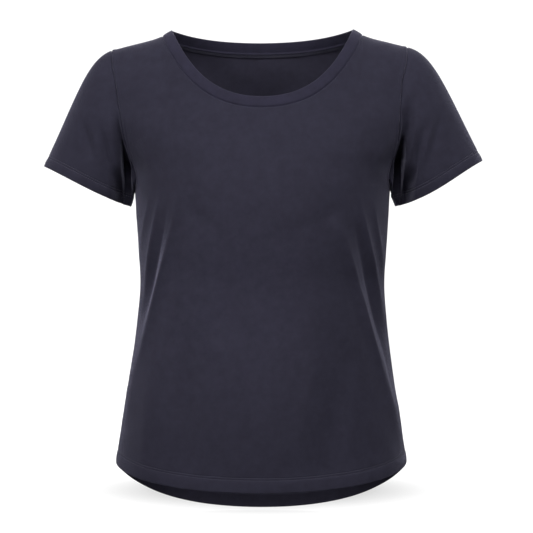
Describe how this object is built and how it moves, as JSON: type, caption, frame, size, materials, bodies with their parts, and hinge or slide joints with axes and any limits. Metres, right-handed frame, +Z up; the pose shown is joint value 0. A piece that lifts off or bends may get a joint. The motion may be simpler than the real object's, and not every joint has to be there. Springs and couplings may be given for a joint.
{
  "type": "scoop-neck t-shirt",
  "caption": "Short-sleeved jersey T-shirt with a wide bound scoop neck and a curved hem longer at the back, filled out as worn, hollow and open at neck, cuffs and hem.",
  "frame": {"origin": "midway between the two neck points, at the height of the shoulders that carry the shirt", "axes": "+Z up along the garment's length, -Y to the front, +X to the wearer's left"},
  "size_m": [0.57, 0.2374, 0.6329],
  "materials": {
    "jersey": "matt navy cotton jersey",
    "neckband": "matt navy self-fabric band"
  },
  "bodies": {
    "root": {"front": "jersey", "back": "jersey", "sleeve_left": "jersey", "sleeve_right": "jersey", "neckband": "neckband"}
  },
  "joints": []
}
